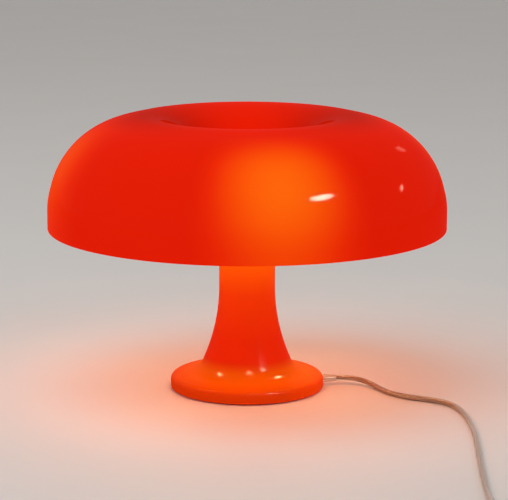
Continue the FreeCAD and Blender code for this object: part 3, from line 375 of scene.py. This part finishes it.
# %% Mix a finish
class Finish:
    """A Principled material with a few helpers for its nodes."""

    def __init__(self, name, **sockets):
        self.material = bpy.data.materials.new(name)
        self.material.use_nodes = True
        self.tree = self.material.node_tree
        self.shader = self.tree.nodes["Principled BSDF"]
        for socket, value in sockets.items():
            self.shader.inputs[socket.replace("_", " ")].default_value = value
        self.place = self.node("ShaderNodeTexCoord").outputs["Object"]

    def node(self, kind, settings=None, **inputs):
        """A new node; inputs are values, or sockets to link from, by the input's name."""
        node = self.tree.nodes.new(kind)
        for name, value in (settings or {}).items():
            setattr(node, name, value)
        for name, value in inputs.items():
            by_number = name[1:].isdigit()
            self.feed(node.inputs[int(name[1:]) if by_number else name.replace("_", " ")], value)
        return node

    def feed(self, socket, value):
        if isinstance(value, bpy.types.NodeSocket):
            self.tree.links.new(value, socket)
        else:
            socket.default_value = value

    def noise(self, scale, detail=3.0):
        node = self.node("ShaderNodeTexNoise", Vector=self.place, Scale=scale, Detail=detail)
        return node.outputs["Fac"]

    def ramp(self, factor, stops):
        """A colour ramp with (position, colour) stops."""
        ramp = self.node("ShaderNodeValToRGB", Fac=factor)
        elements = ramp.color_ramp.elements
        while len(elements) < len(stops):
            elements.new(0.5)
        for element, (position, colour) in zip(elements, stops):
            element.position = position
            element.color = (*colour, 1.0)
        return ramp.outputs["Color"]

    def maths(self, operation, one, two, three=0.0):
        node = self.node("ShaderNodeMath", {"operation": operation}, _0=one, _1=two, _2=three)
        return node.outputs["Value"]

    def vectors(self, operation, one, two=(0, 0, 0), output="Vector"):
        node = self.node("ShaderNodeVectorMath", {"operation": operation}, _0=one, _1=two)
        return node.outputs[output]

    def span(self, value, low=0.0, high=1.0, start=0.0, end=1.0):
        """The value between low and high, spread from start to end."""
        node = self.node("ShaderNodeMapRange", Value=value, From_Min=low, From_Max=high,
                         To_Min=start, To_Max=end)
        return node.outputs["Result"]

    def part_of(self, vector, axis):
        """One coordinate of a vector: X, Y or Z."""
        return self.node("ShaderNodeSeparateXYZ", Vector=vector).outputs[axis]

    def bump(self, height, distance, strength=0.5):
        node = self.node("ShaderNodeBump", Height=height, Distance=distance, Strength=strength)
        self.feed(self.shader.inputs["Normal"], node.outputs["Normal"])

    def mottle(self, colour, spread, scale):
        """A colour that wanders a little darker and lighter over the piece."""
        dark = [channel * (1 - spread) for channel in colour]
        light = [min(1.0, channel * (1 + spread)) for channel in colour]
        tone = self.ramp(self.noise(scale), [(0.3, dark), (0.7, light)])
        self.feed(self.shader.inputs["Base Color"], tone)


GRAIN_FINENESS = 12


def plain_finish(name, colour, roughness, metallic=0.0, spread=0.05, scale=60.0, grain=0.0,
                 **sockets):
    """A mottled finish, with a fine grain where one is asked for."""
    finish = Finish(name, Roughness=roughness, Metallic=metallic, **sockets)
    finish.mottle(colour, spread, scale)
    if grain:
        finish.bump(finish.noise(scale * GRAIN_FINENESS), grain)
    return finish.material


print("finishes can be mixed")

# %% [markdown]
# ## The glow of the shade
# Light from the bulbs soaks through the plastic. It is deep red all over and turns to orange where
# a bulb lies close behind it. This light is painted on the shade itself as emission: how squarely a
# spot faces one of the bulbs, seen from the lamp's axis, times how far up the wall it is.

# %% Find the spots before the bulbs
GLOW_STRENGTHS = [0.35, 0.8, 0.42, 1.0]
GLOW_EDGE = math.cos(math.radians(28))
GLOW_FALL = 2.5
SHADE_LOW, SHADE_HIGH = 0.1324, 0.2225
DISH_EDGE, WALL_EDGE = 0.078, 0.105
STREAK_DEPTH, STREAK_DARK = 0.16, 0.92

glow = Finish("glowing_plastic", Roughness=0.3, Coat_Weight=0.035, Coat_Roughness=0.07,
              Specular_IOR_Level=0.0)
flat_place = glow.vectors("MULTIPLY", glow.place, (1, 1, 0))
outward = glow.vectors("NORMALIZE", flat_place)
reach = glow.vectors("LENGTH", flat_place, output="Value")

facing = 0.0
for bearing, strength in zip(LAMP_BEARINGS, GLOW_STRENGTHS):
    angle = math.radians(bearing)
    bulb_way = (math.cos(angle), math.sin(angle), 0)
    squarely = glow.vectors("DOT_PRODUCT", outward, bulb_way, "Value")
    near = glow.maths("POWER", glow.span(squarely, GLOW_EDGE), GLOW_FALL)
    facing = glow.maths("ADD", facing, glow.maths("MULTIPLY", near, strength))

up_the_wall = glow.span(glow.part_of(glow.place, "Z"), SHADE_LOW, SHADE_HIGH)
belt = glow.ramp(up_the_wall, [
    (position, (level,) * 3) for position, level in
    ((0.0, 0.38), (0.1, 0.42), (0.24, 0.58), (0.36, 0.78), (0.5, 0.95), (0.6, 1.0), (0.72, 0.97),
     (0.8, 0.80), (0.86, 0.56), (0.92, 0.28), (0.97, 0.05), (1.0, 0.0))])
outside = glow.span(reach, DISH_EDGE, WALL_EDGE)
spots = glow.maths("MULTIPLY", glow.maths("MULTIPLY", facing, belt), outside)
streak = glow.maths("MULTIPLY_ADD", glow.noise(18.0, detail=2.0), STREAK_DEPTH, STREAK_DARK)
spots = glow.maths("MULTIPLY", spots, streak)
print("spots before", len(LAMP_BEARINGS), "bulbs")

# %% [markdown]
# The spots choose the colour of the glow. On the crest and in the dish the glow is a little
# stronger than on the wall in front and behind, and much weaker on the left and right.

# %% Colour the glowing plastic
CREST_INNER, CREST_OUTER = 0.085, 0.115
CREST_IN_FRONT, CREST_AT_SIDES = 1.08, 0.58
glow_colour = glow.ramp(spots, [
    (0.0, (0.60, 0.0075, 0.0004)), (0.15, (0.68, 0.018, 0.0006)), (0.4, (0.76, 0.050, 0.0008)),
    (0.7, (0.82, 0.090, 0.0012)), (1.0, (0.84, 0.125, 0.0020))])
glow.feed(glow.shader.inputs["Emission Color"], glow_colour)
sideways = glow.part_of(outward, "X")
sideways = glow.maths("MULTIPLY", sideways, sideways)
at_crest = glow.span(sideways, start=CREST_IN_FRONT, end=CREST_AT_SIDES)
crest = glow.span(reach, CREST_INNER, CREST_OUTER, start=at_crest)
glow.feed(glow.shader.inputs["Emission Strength"], crest)
glow.mottle((0.25, 0.0065, 0.0008), spread=0.06, scale=9.0)
glow.bump(glow.noise(14.0, detail=1.0), distance=0.0006, strength=0.15)
dome.data.materials.clear()
dome.data.materials.append(glow.material)
print("shade coloured, its crest from", CREST_INNER, "to", CREST_OUTER, "m out")

# %% [markdown]
# ## The foot's plastic
# The foot is the same colour but solid, not translucent. The shade's light on it is painted into
# its colour and into a faint glow of its own, by height: towards orange at the top of the stem and
# on the flat of the foot, most of all at its right edge.

# %% Paint the shade's light on the foot by its height
FOOT_TOP = 0.145
RIGHT_START, RIGHT_END, RIGHT_PAINTED_LIGHT = 0.03, 0.055, 1.7

foot_plastic = Finish("foot_plastic", Roughness=0.3, Coat_Weight=0.05, Coat_Roughness=0.15,
                      Specular_IOR_Level=0.0)
foot_rise = foot_plastic.span(foot_plastic.part_of(foot_plastic.place, "Z"), 0.0, FOOT_TOP)
# The colour carries painted light and shade, set by height.
foot_colour_and_painted_light = foot_plastic.ramp(foot_rise, [
    (0.0, (0.52, 0.040, 0.003)), (0.13, (0.58, 0.055, 0.003)), (0.19, (0.70, 0.018, 0.0015)),
    (0.3, (0.70, 0.018, 0.0015)), (0.55, (0.74, 0.032, 0.0018)), (1.0, (0.76, 0.08, 0.0020))])
foot_plastic.feed(foot_plastic.shader.inputs["Base Color"], foot_colour_and_painted_light)
# The shade's light is also painted on as a faint glow of the foot's own, set by height.
foot_painted_glow = foot_plastic.ramp(foot_rise, [
    (0.0, (0.26, 0.012, 0.0)), (0.06, (0.28, 0.014, 0.0)), (0.09, (0.30, 0.054, 0.0)),
    (0.13, (0.28, 0.048, 0.0)), (0.18, (0.14, 0.008, 0.0)), (0.3, (0.12, 0.009, 0.0)),
    (0.55, (0.12, 0.018, 0.0)), (0.75, (0.12, 0.066, 0.0)), (1.0, (0.08, 0.066, 0.0))])
foot_plastic.feed(foot_plastic.shader.inputs["Emission Color"], foot_painted_glow)
# The painted glow is stronger towards the foot's right edge.
right_edge_painted_light = foot_plastic.span(foot_plastic.part_of(foot_plastic.place, "X"),
                           RIGHT_START, RIGHT_END, 1.0, RIGHT_PAINTED_LIGHT)
foot_plastic.feed(foot_plastic.shader.inputs["Emission Strength"], right_edge_painted_light)
foot_plastic.bump(foot_plastic.noise(25.0, detail=1.0), distance=0.0004, strength=0.1)
foot.data.materials.clear()
foot.data.materials.append(foot_plastic.material)
print("foot coloured over", FOOT_TOP, "m of height")

# %% [markdown]
# ## The bulbs' light
# The opal glass is bright all over, and it lights the stem, the foot and the floor round them.

# %% Light the globes
OPAL_GLOW = (1.0, 0.58, 0.22, 1.0)
OPAL_STRENGTH = 9.0
opal = Finish("opal_glass", Roughness=0.25, Coat_Weight=0.3)
opal.mottle((0.95, 0.9, 0.82), spread=0.02, scale=40.0)
opal.shader.inputs["Emission Color"].default_value = OPAL_GLOW
opal.shader.inputs["Emission Strength"].default_value = OPAL_STRENGTH
for piece in globes:
    piece.data.materials.clear()
    piece.data.materials.append(opal.material)
print("globes lit")

# %% [markdown]
# ## The other finishes
# What is left keeps its measured shape and only gets a finish: white lampholders, zinc-plated nuts
# and tube, black rubber feet, and the clear sleeves on the cord.

# %% Finish the measured pieces by their slots
finishes = {
    "shade": glow.material,
    "foot_moulding": foot_plastic.material,
    # The knob has a faint red glow painted on as emission, like the lit shade around it.
    "knob": plain_finish("knob_plastic_painted_glow", (0.60, 0.018, 0.0015), roughness=0.3, grain=0.0001,
                         Coat_Weight=0.06, Coat_Roughness=0.1, Specular_IOR_Level=0.0,
                         Emission_Strength=1.0, Emission_Color=(0.24, 0.004, 0.0, 1.0)),
    "ballast": plain_finish("cast_iron", (0.05, 0.05, 0.055), roughness=0.7, metallic=0.6,
                            spread=0.25, scale=90.0, grain=0.0003),
    "cover": plain_finish("black_sheet", (0.035, 0.035, 0.037), roughness=0.5, metallic=0.3,
                          spread=0.15, scale=120.0, grain=0.0001),
    "steel": plain_finish("zinc_plate", (0.58, 0.58, 0.60), roughness=0.3, metallic=1.0,
                          spread=0.08, scale=200.0, grain=0.00005),
    "rubber": plain_finish("black_rubber", (0.022, 0.022, 0.023), roughness=0.85,
                           spread=0.2, scale=150.0, grain=0.0001),
    "clear_sleeve": plain_finish("clear_sleeve", (0.80, 0.68, 0.52), roughness=0.25,
                                 Transmission_Weight=0.5),
    "white_plastic": plain_finish("white_plastic", (0.80, 0.78, 0.74), roughness=0.4,
                                  grain=0.0001),
    "brass": plain_finish("brass", (0.72, 0.50, 0.20), roughness=0.28, metallic=1.0,
                          spread=0.1, scale=160.0),
    "bulb_glass": opal.material,
    "bulb_cap": plain_finish("bulb_cap_metal", (0.74, 0.74, 0.75), roughness=0.3, metallic=1.0,
                             spread=0.06, scale=200.0),
    "bulb_foot": plain_finish("bulb_foot_glaze", (0.03, 0.025, 0.025), roughness=0.15),
    "switch": plain_finish("switch_plastic", (0.82, 0.80, 0.75), roughness=0.25,
                           grain=0.00005, Coat_Weight=0.3),
    "plug": plain_finish("plug_plastic", (0.82, 0.80, 0.75), roughness=0.3,
                         grain=0.00005, Coat_Weight=0.3),
    "rocker": plain_finish("rocker_plastic", (0.72, 0.70, 0.66), roughness=0.25,
                           grain=0.00005, Coat_Weight=0.3),
    "cord": plain_finish("cord_sheath", (0.85, 0.70, 0.50), roughness=0.12,
                         Transmission_Weight=0.75, IOR=1.45),
}
core_finish = plain_finish("core_insulation", (0.42, 0.15, 0.05), roughness=0.35,
                           spread=0.15, scale=300.0)
for part in frame["record"]["subparts"]:
    measured = frame["nodes"][part["node"]]
    measured.data.materials.clear()
    measured.data.materials.append(finishes[part["material_slot"]])
cord.data.materials.append(finishes["cord"])
for core in cores:
    core.data.materials.append(core_finish)
print("finishes:", len(finishes))

# %% [markdown]
# ## The studio
# The lamp stands on a pale floor in a pale room. The room shows at full strength to the camera, in
# reflections and through clear plastic, and sheds a dimmer light on everything else.

# %% Lay the floor
STUDIO_TONE = (0.82, 0.80, 0.78, 1.0)
FLOOR_SIZE = 40.0
clear_selection()
bpy.ops.mesh.primitive_plane_add(size=FLOOR_SIZE, location=(0, 0, 0))
floor = bpy.context.object
floor.name = "studio_floor"
floor_finish = Finish("studio_floor", Roughness=0.6, Specular_IOR_Level=0.3)
floor_finish.mottle(STUDIO_TONE[:3], spread=0.01, scale=6.0)
floor.data.materials.append(floor_finish.material)
print("floor:", FLOOR_SIZE, "m wide")

# %% Light the room
ROOM_LIGHT, ROOM_SHOWN = 0.41, 1.0
world = bpy.data.worlds.new("studio_room")
bpy.context.scene.world = world
world.use_nodes = True
air = world.node_tree
air.nodes["Background"].inputs["Color"].default_value = STUDIO_TONE
air.nodes["Background"].inputs["Strength"].default_value = ROOM_LIGHT
shown = air.nodes.new("ShaderNodeBackground")
shown.inputs["Color"].default_value = STUDIO_TONE
shown.inputs["Strength"].default_value = ROOM_SHOWN
rays = air.nodes.new("ShaderNodeLightPath").outputs
shows = rays["Is Camera Ray"]
for kind in ("Is Glossy Ray", "Is Transmission Ray"):
    either = air.nodes.new("ShaderNodeMath")
    either.operation = "MAXIMUM"
    air.links.new(shows, either.inputs[0])
    air.links.new(rays[kind], either.inputs[1])
    shows = either.outputs[0]
mixed = air.nodes.new("ShaderNodeMixShader")
air.links.new(shows, mixed.inputs[0])
air.links.new(air.nodes["Background"].outputs[0], mixed.inputs[1])
air.links.new(shown.outputs[0], mixed.inputs[2])
air.links.new(mixed.outputs[0], air.nodes["World Output"].inputs["Surface"])
print("room light", ROOM_LIGHT)

# %% [markdown]
# Soft light comes from above and from both sides.


# %% Hang the softboxes
def area_light(name, place, aim, along, size, power, colour=(1, 1, 1)):
    """An elliptical lamp whose long side lies along a direction."""
    data = bpy.data.lights.new(name, "AREA")
    data.shape = "ELLIPSE"
    data.size, data.size_y = size
    data.energy = power
    data.color = colour
    light = bpy.data.objects.new(name, data)
    bpy.context.scene.collection.objects.link(light)
    back = (Vector(place) - Vector(aim)).normalized()
    side = (Vector(along) - back * back.dot(Vector(along))).normalized()
    turned = Matrix((side, back.cross(side), back)).transposed().to_4x4()
    light.matrix_world = Matrix.Translation(place) @ turned
    light.visible_camera = False
    return light


SOFTBOX_AIM = (0, 0, 0.1)
SOFTBOXES = [("top_softbox", (-0.6, -0.4, 2.2), 2.0, 18.0),
             ("left_softbox", (-2.0, -1.2, 1.3), 1.3, 3.0),
             ("right_softbox", (2.0, -1.2, 1.3), 1.3, 3.0)]
for name, place, size, power in SOFTBOXES:
    light = area_light(name, place, SOFTBOX_AIM, (1, 0, 0), (size, size), power)
    light.visible_glossy = False
print("softboxes:", len(SOFTBOXES))

# %% [markdown]
# The shade mirrors a window and two smaller lights, and the foot mirrors the window and three of
# the bulbs. Each bright mark comes from a small lamp with a narrow beam, which shows only as a
# reflection near its aim. A lamp's row is in the order of what gloss_mark asks for.

# %% Set the bright marks
WIDE_BEAM, NARROW_BEAM = 36, 18


def gloss_mark(name, place, aim, along, size, radiance, spread, colour):
    """A lamp whose reflection, near the spot that it aims at, has this radiance."""
    cone = math.radians(spread) / 2
    dimmed = 1 - cone / math.tan(cone)
    power = radiance * dimmed * math.pi * math.pi / 4 * size[0] * size[1]
    light = area_light(name, place, aim, along, size, power, colour)
    light.data.spread = 2 * cone
    light.visible_diffuse = light.visible_transmission = False


MARKS = [
    ("window_on_dome", (0.270, -0.316, 0.394), (0.055, -0.141, 0.181),
     (0.308, 0.35, 0), (0.108, 0.034), 700, WIDE_BEAM, (1.0, 0.93, 0.74)),
    ("window_on_foot", (0.195, -0.2055, 0.1876), (0.0133, -0.0336, 0.0220),
     (0.44, 0.41, 0), (0.094, 0.012), 800, WIDE_BEAM, (1.0, 0.88, 0.68)),
    ("side_mark", (0.427, 0.010, 0.302), (0.117, -0.097, 0.180),
     (0.08, -0.119, -0.11), (0.042, 0.013), 330, WIDE_BEAM, (1.0, 0.5, 0.35)),
    ("rear_mark", (0.284, 0.214, 0.347), (0.1186, -0.06, 0.2046),
     (0.032, 0.061, -0.133), (0.037, 0.028), 28, WIDE_BEAM, (1.0, 0.6, 0.45)),
    ("bulb_on_foot_1", (0.0967, 0.0228, 0.139), (0.0249, -0.0328, 0.0159),
     (1, 0, 0), (0.034, 0.034), 850, NARROW_BEAM, (1.0, 0.75, 0.33)),
    ("bulb_on_foot_3", (-0.1164, -0.0264, 0.139), (-0.0211, -0.0326, 0.0179),
     (1, 0, 0), (0.034, 0.034), 850, NARROW_BEAM, (1.0, 0.76, 0.42)),
    ("bulb_on_foot_4", (0.0205, -0.1403, 0.139), (0.0026, -0.0369, 0.0203),
     (1, 0, 0), (0.032, 0.032), 950, NARROW_BEAM, (1.0, 0.65, 0.40)),
]
for mark in MARKS:
    gloss_mark(*mark)
print("bright marks:", len(MARKS))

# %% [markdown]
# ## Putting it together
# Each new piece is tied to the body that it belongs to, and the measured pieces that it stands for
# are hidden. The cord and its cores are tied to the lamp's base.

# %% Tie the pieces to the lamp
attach(foot, "lamp_base")
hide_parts("stem_base")
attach(dome, "shade")
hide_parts("shade")
for number, piece in enumerate(globes, start=1):
    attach(piece, f"bulb_{number}")
    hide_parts(f"bulb_glass_{number}")

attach(cord, "lamp_base")
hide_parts("cord_lead", "cord_mid", "cord_coil", "cord_tail")
for core in cores:
    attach(core, "lamp_base")
